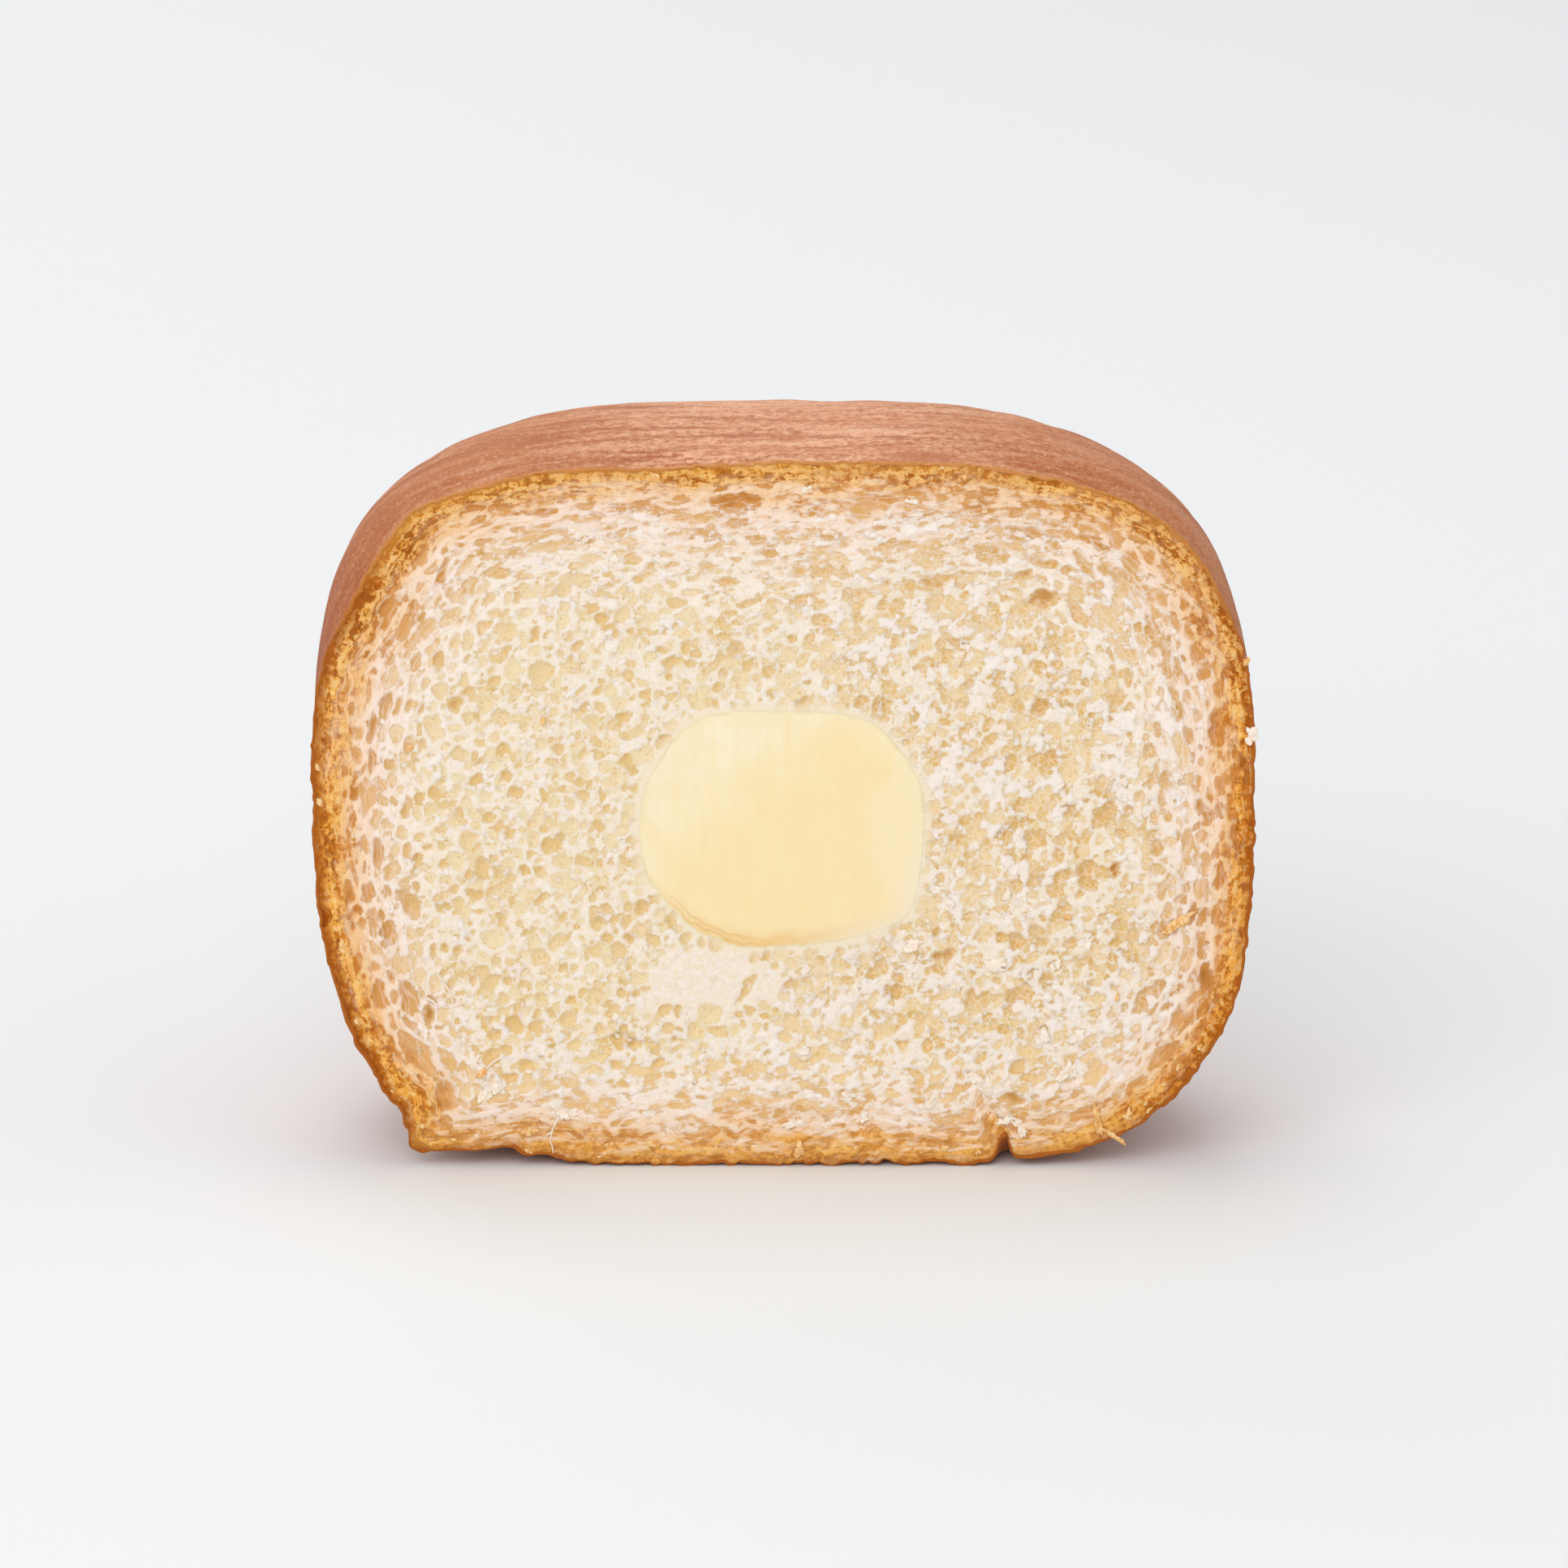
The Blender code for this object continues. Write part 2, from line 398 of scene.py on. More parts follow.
def crust_finish():
    material, place = new_finish("baked_crust")
    bark = grain(stretched(place, (0.5, 0.5, 0.8)), 0.45 * MM, 5.0, 0.7)
    streaks = grain(stretched(place, (0.12, 0.7, 0.16)), 2.2 * MM, 5.0, 0.62, 0.6)
    blotches = grain(stretched(place, (0.4, 1.0, 0.4)), 9 * MM, 3.0)
    specks = grain(stretched(place, (1.0, 0.4, 1.0)), 0.4 * MM, 3.0, 0.65)
    height = place_part(place, "Z")
    across = place_part(place, "X")
    color = tint(between(bark, 0.35, 0.65), (192, 104, 50), (252, 194, 152))
    left = between(across, -42 * MM, -14 * MM, -0.07, 0.0)
    dark = between(plus(streaks, left), 0.34, 0.54, 0.86, 0.0)
    color = tint(dark, color, (178, 88, 34))
    color = tint(between(streaks, 0.5, 0.66, 0.0, 0.62), color, (252, 198, 162))
    color = tint(between(blotches, 0.42, 0.62, 0.0, 0.3), color, (244, 172, 130))
    side = between(unsigned(across), 6 * MM, 36 * MM, 0.0, 0.58)
    color = tint(side, color, (184, 96, 0))
    brown = tint(between(bark, 0.36, 0.64), (154, 64, 0), (182, 90, 18))
    brown = tint(between(blotches, 0.4, 0.6, 0.0, 0.4), brown, (206, 126, 62))
    brown = tint(between(streaks, 0.36, 0.54, 0.4, 0.0), brown, (148, 66, 10))
    lower = between(height, 46 * MM, 78 * MM, 0.94, 0.0)
    color = tint(lower, color, brown)
    light = between(specks, 0.55, 0.7, 0.0, times_plus(lower, -0.3, 0.4))
    color = tint(light, color, (252, 208, 176))
    color = tint(between(specks, 0.32, 0.45, 0.4, 0.0), color, (158, 72, 14))
    behind = place_part(place, "Y")
    sliced = between(behind, CUT_Y + 0.1 * MM, CUT_Y + 0.9 * MM, 0.7, 0.0)
    cut_edge = tint(between(height, 56 * MM, 68 * MM), (184, 104, 22), (218, 146, 66))
    color = tint(sliced, color, cut_edge)
    bumps = relief(bark, 0.4 * MM, 0.8, relief(streaks, 0.6 * MM, 0.7))
    inputs = {
        "Base Color": color,
        "Roughness": between(specks, 0.3, 0.7, 0.52, 0.7),
        "IOR": 1.4,
        "Specular IOR Level": 0.25,
        "Subsurface Weight": 0.05,
        "Subsurface Radius": (1.0, 0.45, 0.25),
        "Subsurface Scale": 0.5 * MM,
        "Sheen Weight": 0.08,
        "Sheen Roughness": 0.4,
        "Normal": relief(specks, 0.12 * MM, 0.7, bumps),
    }
    return set_shader(material, inputs)


def make_crust():
    bm = bmesh.new()
    outside = skin_points(0.0)
    outside[..., 2] = np.maximum(outside[..., 2], 0)
    edge = circle(ring_angles) * 0.05
    outside[0, :, 1] += dough_noise(edge, 0.9 * MM, 14) * 0.16 * MM
    rim = ringed_dome(bm, range(len(ring_hubs)), 1, outside)
    rim = pull_in(bm, rim, CRUST_THICKNESS, 0.0)
    rim = pull_in(bm, rim, CRUST_THICKNESS, CRUST_LIP)
    inner_rim = ringed_dome(bm, CRUST_CORE_RINGS, CORE_STRIDE, skin_points(CRUST_BACKING))
    bmesh.ops.bridge_loops(bm, edges=rim + inner_rim)
    tuck_lip(bm)
    crust = finished_piece("crust", bm, crust_finish())
    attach(crust, "root")
    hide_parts("bread")


make_crust()

# ----------------------------------------
# The crumb: soft white dough full of bubbles, which the knife opened. The bubbles are round in
# the middle and drawn out along the crust, and the outer few millimetres are baked golden.
# ----------------------------------------
CRUMB_STEP = 0.262 * MM
CRUMB_RECESS = 0.12 * MM  # how far the crumb's walls stand behind the crust's edge
CHEESE_GAP = -0.12 * MM  # the cheese is baked fast, so its skin runs into the crumb's
# The scattered bubbles: tries, usual half width, its spread, least half width, how far apart
BUBBLES = (
    (200, 0.95 * MM, 0.16, 0.76 * MM, 0.72),
    (9000, 0.62 * MM, 0.26, 0.38 * MM, 0.74),
    (12000, 0.38 * MM, 0.22, 0.22 * MM, 0.78),
    (9000, 0.24 * MM, 0.2, 0.14 * MM, 0.95),
)
BUBBLE_WALL = 0.11 * MM  # half the usual wall between two bubbles
FLOW_STRETCH = 0.24  # a streak is drawn out round the bun by one over this
# The bubbles that stand out: across, up, half length, half width, tilt in degrees, darkness, which
# deepens the bubble and sets the painted shade on its floor
LANDMARK_BUBBLES = (
    (35.1, 32.5, 0.9, 0.8, 90, 1.0),
    (32.0, 31.9, 1.8, 1.25, 100, 0.78),
    (17.0, 23.2, 1.2, 0.8, 20, 0.93),
    (44.9, 20.7, 1.9, 0.9, 85, 0.97),
    (27.3, 62.2, 2.2, 0.9, 5, 0.96),
    (25.4, 64.6, 1.3, 0.7, -5, 0.95),
    (16.2, 63.9, 1.8, 0.9, 5, 0.92),
    (24.3, 7.4, 1.8, 0.7, -5, 1.0),
    (-45.4, 28.0, 1.1, 0.8, 75, 0.98),
    (-45.5, 41.1, 0.85, 0.75, 90, 0.98),
    (-37.8, 16.4, 1.2, 0.9, 100, 0.97),
    (-34.3, 50.6, 0.85, 0.8, 5, 0.93),
    (-36.8, 40.8, 1.0, 0.85, 60, 0.7),
    (-28.3, 40.9, 0.9, 0.85, 20, 0.7),
    (-32.1, 32.9, 1.15, 0.85, 100, 0.75),
    (-36.2, 28.6, 0.95, 0.7, 110, 0.85),
    (-39.6, 29.2, 2.0, 1.2, 115, 0.72),
    (-42.0, 26.0, 1.5, 0.9, 130, 0.72),
    (-5.7, 63.9, 1.6, 0.55, 0, 0.9),
    (-1.8, 66.9, 1.8, 0.6, 5, 0.9),
    (27.3, 50.2, 1.0, 0.9, 90, 0.92),
    (-4.4, 19.0, 1.9, 0.4, 62, 0.88),
    (-5.0, 72.7, 3.8, 0.7, 3, 1.0),
    (-25.5, 71.3, 2.6, 0.5, 6, 0.95),
    (-43.4, 48.3, 2.0, 0.7, 88, 0.93),
    (-43.0, 34.5, 1.9, 0.7, 92, 0.9),
    (45.6, 48.0, 2.3, 1.1, 92, 0.78),
    (33.8, 38.6, 1.9, 1.4, 50, 0.72),
    (25.0, 18.6, 2.1, 1.1, 35, 0.72),
)
DENSE_DOUGH = (-7.4 * MM, 20.3 * MM, 7.5 * MM, 3.6 * MM)  # place and half sizes, no bubbles
UNDER_CRUST_LEAST = 0.3 * MM  # a bubble's middle is this deep under the crust
PAST_CHEESE_LEAST = 0.7 * MM  # and this far from the cheese
BUBBLE_WINDOW = 1.7 * MM  # round a bubble, where it is the nearest or the second nearest
FAR_FROM_BUBBLES = 3 * MM
EDGE_POINTS = 2400  # along the crust's inside, and along the cheese's edge
CRUMB_LIP = (0.5 * MM, 2.0 * MM)  # how far in and back its edge goes to its plain inner side
CRUMB_CORE_RINGS = (*range(16, 73, 8), 79, 84)
POCKET_FIRST_RING = 4


def ease(value, low, high):
    """Goes smoothly from 0 to 1 as the value goes from low to high."""
    share = np.clip((value - low) / (high - low), 0, 1)
    return share * share * (3 - 2 * share)


def cut_reach(angles, inset=0.0):
    """Distance from the waist to the crust's edge on the cut face."""
    return np.interp(angles, ring_angles, cut_ring_reach, period=2 * np.pi) - inset


cheese_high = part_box("cheese")[1]
CHEESE_HUB = Vector((-0.2 * MM, CUT_Y, 36.7 * MM))
# Where the cheese's cut edge stands out: angle and half width in degrees, height
CHEESE_BULGES = (
    (215, 16, -1.3 * MM),
    (325, 10, 0.5 * MM),
    (148, 12, -0.6 * MM),
    (35, 12, -0.5 * MM),
    (300, 14, -0.3 * MM),
)
CHEESE_PROBES = 120


def probe_cheese():
    """Distances from the cheese's hub to its cut edge, at equal angles."""
    skin = node_skin("cheese")
    hub = CHEESE_HUB + Vector((0, JUST_BEHIND, 0))
    reach = []
    for step in range(CHEESE_PROBES):
        turn = 2 * math.pi * step / CHEESE_PROBES
        aim = Vector((math.cos(turn), 0, math.sin(turn)))
        reach.append((skin.ray_cast(hub + aim * OUTSIDE, -aim)[0] - hub).length)
    return np.array(reach)


cheese_reach_table = probe_cheese()


def cheese_reach(angles):
    """Distance from the cheese's hub to its edge on the cut face."""
    turns = np.arange(CHEESE_PROBES) * 2 * np.pi / CHEESE_PROBES
    reach = np.interp(angles, turns, cheese_reach_table, period=2 * np.pi)
    for angle, half_width, height in CHEESE_BULGES:
        away = np.degrees(signed(angles - math.radians(angle)))
        reach = reach + height * np.exp(-((away / half_width) ** 2))
    edge = circle(np.ravel(angles)) * 15 * MM
    uneven = 0.2 * dough_noise(edge, 4 * MM, 53) + 0.12 * dough_noise(edge, 1.3 * MM, 54)
    return reach + uneven.reshape(np.shape(angles)) * MM


CHEESE_MIDDLE_BEHIND = 9 * MM  # the lump is fullest this far behind the cut
CHEESE_SQUARENESS = 2.9
CHEESE_RINGS = 26
cheese_behind = (cheese_high.y - CUT_Y) * np.sin(np.radians(90) * np.linspace(0, 1, CHEESE_RINGS))


def cheese_points(gap):
    """The lump's skin behind the cut as a table of points, ring by ring, grown by the gap."""
    half_depth = cheese_high.y - CUT_Y - CHEESE_MIDDLE_BEHIND
    shares = np.abs(cheese_behind - CHEESE_MIDDLE_BEHIND) / half_depth
    fullness = np.maximum(1 - shares**CHEESE_SQUARENESS, 0) ** (1 / CHEESE_SQUARENESS)
    reach = cheese_reach(ring_angles) * (fullness / fullness[0])[:, None] + gap
    points = circle(ring_angles) * reach[..., None] + CHEESE_HUB
    points[..., 1] = CUT_Y + cheese_behind[:, None]
    return points


def face_grid(bm):
    """A fine upright grid over the cut face. Returns its vertices' places as a table."""
    low, high = bread_low.x - MM, bread_high.x + MM
    width, height = high - low, bread_high.z + 2 * MM
    columns, rows = round(width / CRUMB_STEP), round(height / CRUMB_STEP)
    shape = Matrix.Translation(((low + high) / 2, CUT_Y, height / 2 - MM))
    shape @= Matrix.Rotation(math.radians(90), 4, "X") @ Matrix.Diagonal((width, height, 1, 1))
    bmesh.ops.create_grid(bm, x_segments=columns, y_segments=rows, size=0.5, matrix=shape)
    places = np.array([vertex.co for vertex in bm.verts])
    return places.reshape(rows + 1, columns + 1, 3)


def face_maps(places):
    """What the dough is like at each point of the face: how deep under the crust it is, which
    way it was drawn out, and how much."""
    across, up = places[..., 0], places[..., 2]
    turn = np.arctan2(up - WAIST.z, across)
    reach, out = cut_reach(turn), np.hypot(across, up - WAIST.z)
    slope_up, slope_across = np.gradient(out / reach)
    slope = np.hypot(slope_up, slope_across) + 1e-12
    from_hub, above_hub = across - CHEESE_HUB.x, up - CHEESE_HUB.z
    turn_cheese = np.arctan2(above_hub, from_hub)
    maps = types.SimpleNamespace(
        across=across,
        up=up,
        under_crust=reach - out,
        along_across=-slope_up / slope,
        along_up=slope_across / slope,
        past_cheese=np.hypot(from_hub, above_hub) - cheese_reach(turn_cheese),
    )
    dense_across, dense_up, dense_width, dense_height = DENSE_DOUGH
    maps.dense = np.hypot((across - dense_across) / dense_width, (up - dense_up) / dense_height)
    flank = np.clip(np.abs(maps.along_up) * 1.4 - 0.3, 0, 1)
    crown = ease(up, 40 * MM, 60 * MM)
    maps.drawn = 1 - ease(maps.under_crust, 4 * MM, (14 + 8 * crown) * MM)
    maps.stretch = (1.3 * flank + 4.0 * (1 - flank)) * maps.drawn
    maps.narrowing = 0.05 * flank + 0.36 * (1 - flank)
    round_bun = BUN_RADIUS * FLOW_STRETCH
    flow = [round_bun * np.cos(turn), round_bun * np.sin(turn), maps.under_crust]
    maps.flow = np.stack(flow, axis=-1)
    right = ease(across, -8 * MM, 12 * MM)
    low = 1 - ease(up, 9 * MM, 22 * MM)
    high = ease(up, 52 * MM, 66 * MM)
    maps.ragged = np.clip(0.1 + 0.7 * right + 0.7 * low + 0.3 * high, 0, 0.95 - 0.25 * high)
    return maps


def face_swell(maps, size, seed, drawn=1.0):
    """Smooth random swells over the face, drawn out along the crust as the dough was, by a
    share of how much it was."""
    shape = maps.up.shape
    points = np.stack([maps.across, 0 * maps.up, maps.up], axis=-1).reshape(-1, 3)
    swells = dough_noise(points, size, seed).reshape(shape)
    if drawn:
        streaks = dough_noise(maps.flow.reshape(-1, 3), size, seed).reshape(shape)
        swells += (streaks - swells) * maps.drawn * drawn
    return swells


def cell(maps, across, up):
    """The row and column of the face's tables that lie nearest to a point."""
    rows, columns = maps.up.shape
    row = round((up - maps.up[0, 0]) / CRUMB_STEP)
    column = round((across - maps.across[0, 0]) / CRUMB_STEP)
    return min(max(row, 0), rows - 1), min(max(column, 0), columns - 1)


def pack_bubbles(maps):
    """Scatters the bubbles that the knife opened, largest first, pressed a little into each
    other. Returns how far inside a bubble each point is, that bubble's half width and its
    darkness, which deepens it and sets the painted shade on its floor."""
    seen_across, seen_up = maps.across.copy(), maps.up.copy()
    for size, amount, seed in ((1.6 * MM, 0.3 * MM, 21), (0.7 * MM, 0.17 * MM, 31)):
        seen_across += amount * face_swell(maps, size, seed, drawn=0)
        seen_up += amount * face_swell(maps, size, seed + 1, drawn=0)
    nearest = np.full(seen_up.shape, FAR_FROM_BUBBLES)  # to the skin of the nearest bubble
    second = nearest.copy()
    wide = np.zeros(seen_up.shape)
    shade = wide.copy()

    def blow(across, up, length, width, tilt, tone):
        reach = length + BUBBLE_WINDOW
        low = cell(maps, across - reach, up - reach)
        high = cell(maps, across + reach, up + reach)
        window = (slice(low[0], high[0] + 1), slice(low[1], high[1] + 1))
        right, above = seen_across[window] - across, seen_up[window] - up
        cos, sin = math.cos(tilt), math.sin(tilt)
        along = (right * cos + above * sin) * width / length
        away = np.hypot(along, above * cos - right * sin) - width
        nearer = away < nearest[window]
        second[window] = np.minimum(second[window], np.where(nearer, nearest[window], away))
        nearest[window] = np.minimum(nearest[window], away)
        wide[window] = np.where(nearer, width, wide[window])
        shade[window] = np.where(nearer, tone, shade[window])

    rng = np.random.default_rng(5)
    for across, up, length, width, tilt, tone in LANDMARK_BUBBLES:
        blow(across * MM, up * MM, length * MM, width * MM, math.radians(tilt), tone)
    for tries, usual, spread, least, apart in BUBBLES:
        for _ in range(tries):
            across = rng.uniform(bread_low.x, bread_high.x)
            up = rng.uniform(0, bread_high.z)
            wanted = usual * math.exp(rng.normal(0, spread))
            stretch, sway = rng.normal(0, 0.25), rng.normal(0, 0.2)
            tone = 0.9 * rng.uniform(0, 1) ** 1.5
            at = cell(maps, across, up)
            if maps.under_crust[at] < UNDER_CRUST_LEAST:
                continue
            if maps.past_cheese[at] < PAST_CHEESE_LEAST:
                continue
            if maps.dense[at] < 1:
                continue
            small = 1 - 0.35 * float(1 - ease(maps.under_crust[at], 0.8 * MM, 4 * MM))
            aspect = 1 + maps.stretch[at] * math.exp(stretch)
            small *= aspect ** -maps.narrowing[at]
            width = min(wanted * small, nearest[at] / apart)
            if width < least * small:
                continue
            length = width * aspect
            along = (maps.along_across[at], maps.along_up[at])
            ends = [
                nearest[cell(maps, across + slide * along[0], up + slide * along[1])]
                for slide in (-0.7 * length, 0.7 * length)
            ]
            if min(ends) < -0.1 * MM:
                length = width * max(1, 0.55 * aspect)
            tilt = math.atan2(along[1], along[0]) + sway
            blow(across, up, length, width, tilt, tone)

    uneven = 0.9 * face_swell(maps, 1.7 * MM, 61) + 0.7 * face_swell(maps, 0.6 * MM, 62)
    from_wall = (second - nearest) / 2 - BUBBLE_WALL * np.maximum(1 + uneven, -0.4)
    soft = 0.16 * MM  # how round a bubble's corners are
    share = np.clip(0.5 + 0.5 * (-nearest - from_wall) / soft, 0, 1)
    inside = -nearest + (from_wall + nearest) * share - soft * share * (1 - share)
    return inside, wide, shade


def face_relief(maps):
    """How far the face stands out at each point, and the marks that its finish reads."""
    inside, wide, shade = pack_bubbles(maps)
    # Walls that tore, rather than being cut, are ragged
    ragged = maps.ragged
    rough = 0.34 * face_swell(maps, 1.5 * MM, 41) + 0.3 * face_swell(maps, 0.8 * MM, 42)
    rough += 0.22 * face_swell(maps, 0.42 * MM, 43)
    rough *= (0.35 + 0.35 * ragged) * (1 - 0.6 * maps.drawn)
    inside = inside + MM * (0.02 + 0.06 * ragged + rough)
    # Where the dough tore, it covers the bubbles with a white lace
    torn = 0.52 * face_swell(maps, 1.8 * MM, 51, drawn=0.6)
    clumps = 0.6 * face_swell(maps, 0.85 * MM, 52, drawn=0.6)
    torn += clumps + 0.42 * face_swell(maps, 0.42 * MM, 53)
    torn -= 0.22 * ease(inside, -0.1 * MM, 0.3 * MM)
    torn -= 0.58 - 0.5 * ragged
    torn -= 0.5 * (1 - ease(maps.past_cheese, 0.4 * MM, 2.2 * MM))
    torn -= 0.6 * (1 - ease(maps.under_crust, 1.8 * MM, 4.5 * MM))
    torn -= 0.5 * (1 - ease(maps.dense, 0.6, 1.2))
    torn -= 0.6 * ease(shade, 0.88, 0.92) * ease(inside, -0.5 * MM, -0.1 * MM)
    lace = ease(torn, -0.1, 0.14)
    # Bubbles are bowls between uneven walls
    bowl = np.clip(inside / np.maximum(wide, 0.1 * MM), 0, 1)
    depth = wide * (0.2 + 0.66 * shade) * (1 - (1 - bowl) ** 2)
    depth *= 1 - 0.7 * lace
    walls = 0.07 * MM * face_swell(maps, 0.8 * MM, 44) + 0.05 * MM * face_swell(maps, 0.4 * MM, 45)
    flakes = lace * MM * (0.08 + 0.06 * face_swell(maps, 0.5 * MM, 46))
    sag = 0.3 * MM * face_swell(maps, 9 * MM, 47, drawn=0)
    baked = 1 - ease(maps.under_crust, 1.5 * MM, 4 * MM)
    walls += baked * 0.16 * MM * face_swell(maps, 0.7 * MM, 48, drawn=0)
    clear = ease(maps.past_cheese, 0.3 * MM, 5 * MM)
    proud = (walls + flakes - depth) * ease(maps.past_cheese, 0, 0.6 * MM) + sag * clear
    # The oven browned the flanks and the base unevenly
    left = 1 - ease(maps.across, -38 * MM, -12 * MM)
    low = 1 - ease(maps.up, 4 * MM, 20 * MM)
    crown = ease(maps.up, 66 * MM, 72 * MM)
    foot = 1 - ease(maps.up, 2 * MM, 8 * MM)
    heel = foot * np.exp(-(((maps.across + 32 * MM) / (4.5 * MM)) ** 2))  # torn from the tray
    marks = {
        "pore": np.clip(inside / MM, -1, 1.2),
        "shade": shade,
        "torn": np.clip(torn, -0.5, 0.5),
        "under_crust": maps.under_crust / MM,
        "past_cheese": np.clip(maps.past_cheese / MM, 0, 10),
        "drawn": maps.drawn,
        # how much less deeply the oven browned it, in millimetres
        "bake": 0.5 * crown - left * (0.5 + 0.8 * low) + 0.3 * foot + 3.6 * heel,
    }
    return proud, marks


def keep_face(bm, maps):
    """Deletes the grid outside the crumb, and squares up the edge so that it is one loop."""
    spare = (maps.under_crust < CRUST_THICKNESS) | (maps.past_cheese < CHEESE_GAP)
    bm.verts.ensure_lookup_table()
    gone = [bm.verts[index] for index in np.flatnonzero(spare)]
    bmesh.ops.delete(bm, geom=gone, context="VERTS")
    pinched = True
    while pinched:
        rim = [vertex for vertex in bm.verts if vertex.is_boundary]
        pinched = [v for v in rim if sum(edge.is_boundary for edge in v.link_edges) != 2]
        bmesh.ops.delete(bm, geom=pinched, context="VERTS")
    loose = [vertex for vertex in bm.verts if not vertex.link_faces]
    bmesh.ops.delete(bm, geom=loose, context="VERTS")


def snap_edges(bm):
    """Moves the crumb's jagged edges onto the crust's inside and the cheese's edge."""
    turns = np.linspace(0, 2 * np.pi, EDGE_POINTS, endpoint=False)
    outer, inner = cut_reach(turns, CRUST_THICKNESS - 0.06 * MM), cheese_reach(turns) + CHEESE_GAP
    rings = ((outer, Vector((0, CUT_Y, WAIST.z))), (inner, CHEESE_HUB))
    tree = kdtree.KDTree(2 * EDGE_POINTS)
    for number, (reach, hub) in enumerate(rings):
        for index, (turn, out) in enumerate(zip(turns, reach)):
            place = (hub.x + out * math.cos(turn), 0, hub.z + out * math.sin(turn))
            tree.insert(place, number * EDGE_POINTS + index)
    tree.balance()
    edges = {0: [], 1: []}
    for edge in bm.edges:
        if edge.is_boundary:
            index = tree.find((edge.verts[0].co.x, 0, edge.verts[0].co.z))[1]
            edges[index // EDGE_POINTS].append(edge)
    for vertex in bm.verts:
        if vertex.is_boundary:
            found = tree.find((vertex.co.x, 0, vertex.co.z))[0]
            vertex.co.x, vertex.co.z = found.x, max(found.z, 0.0)
    return edges[0], edges[1]


def crumb_finish():
    material, place = new_finish("bread_crumb")

    def net(place, size):
        """Distance from the threads of a net whose meshes are about size across, in meshes."""
        inputs = {"Vector": place, "Scale": 1 / size}
        return node_beside(place, "TexVoronoi", "Distance", inputs, feature="DISTANCE_TO_EDGE")

    flow = mark(place, "flow", "Vector")
    depth, drawn = mark(place, "under_crust"), mark(place, "drawn")
    cotton = grain(place, 0.45 * MM, 5.0, 0.68)
    fibres = grain(flow, 0.5 * MM, 5.0, 0.7)
    rag = minus(fibres, cotton)
    rag = minus(times_plus(rag, drawn, cotton), 0.5)
    raggedness = times_plus(drawn, -0.5, 1.3)
    edge = times_plus(rag, raggedness, mark(place, "pore"))
    height = place_part(place, "Z")
    crown = times(between(height, 46 * MM, 62 * MM), drawn)
    edge = times_plus(drawn, -0.05, edge)
    edge = times_plus(crown, 0.04, edge)
    blur = grain(place, 2.6 * MM, 3.0)
    softness = between(grain(place, 1.1 * MM, 2.0), 0.4, 0.62, 0.02, 0.32)
    opened = between(edge, -0.06, softness)
    middle = between(edge, 0.1, 0.6)
    flush = between(depth, 2.0, 14.0, 1.0, 0.0)
    right = between(place_part(place, "X"), -10 * MM, 16 * MM)
    small_net = times_plus(rag, 0.7, net(place, 0.75 * MM))
    long_net = times_plus(rag, 0.4, net(flow, 1.1 * MM))
    threads = between(long_net, 0.0, 0.08, 0.55, 0.0)
    threads = times(threads, drawn)
    webs = times(between(depth, 3.0, 12.0), between(right, -0.3, 0.8))
    webs = times(between(small_net, 0.0, 0.16, 0.5, 0.0), webs)

    fair = tint(flush, (249, 239, 231), (252, 235, 229))
    deep = tint(flush, (243, 223, 190), (243, 210, 176))
    mottle = between(rag, -0.13, 0.1, 0.85, 0.0)
    mottle = larger(mottle, between(small_net, 0.08, 0.34, 0.0, 0.6))
    ground = tint(mottle, fair, deep)
    # Painted shade and glow: the opened bubbles' floors are darker and warmer than the walls, the
    # more so the darker the bubble is, standing in for the shade of the hollows and the light
    # glowing through the dough
    shade = mark(place, "shade")
    shallow = tint(right, (241, 223, 183), (239, 213, 164))
    shallow = tint(flush, shallow, (231, 188, 134))
    sunken = tint(right, (233, 202, 142), (227, 188, 118))
    sunken = tint(flush, sunken, (200, 136, 60))
    floor = tint(between(shade, 0.0, 0.7), shallow, sunken)
    flecks = between(grain(place, 0.32 * MM, 3.0, 0.6), 0.36, 0.45, 0.5, 0.0)
    floor = tint(flecks, floor, (220, 158, 66))
    faint = tint(flush, (243, 221, 184), (234, 188, 132))
    floor = tint(between(blur, 0.42, 0.66, 0.0, 0.3), floor, faint)
    floor = tint(webs, floor, (247, 230, 211))
    floor = tint(times(crown, 0.3), floor, (216, 154, 50))
    color = tint(opened, ground, floor)
    under = times(between(fibres, 0.38, 0.48, 0.25, 0.0), drawn)
    color = tint(under, color, (216, 148, 70))
    upper = times(between(fibres, 0.52, 0.6, 0.0, 0.3), drawn)
    color = tint(larger(threads, upper), color, (252, 236, 230))
    # Painted shade: the darkest bubbles get dark brown floors in their middles
    dark = times(between(shade, 0.88, 1.0), middle)
    painted_hollow_shade = tint(flush, (196, 134, 54), (170, 102, 28))
    color = tint(dark, color, painted_hollow_shade)
    shreds = minus(grain(place, 0.7 * MM, 6.0, 0.74), 0.5)
    torn = times_plus(shreds, 1.9, mark(place, "torn"))
    # Painted shadow: a darker edge just outside the torn lace, in patches
    patches = between(blur, 0.4, 0.6, 0.0, 0.4)
    painted_lace_shadow = times(between(torn, -0.16, 0.0), patches)
    color = tint(painted_lace_shadow, color, (232, 192, 124))
    lace = between(torn, -0.02, 0.08)
    color = tint(times(lace, 0.85), color, (251, 239, 231))
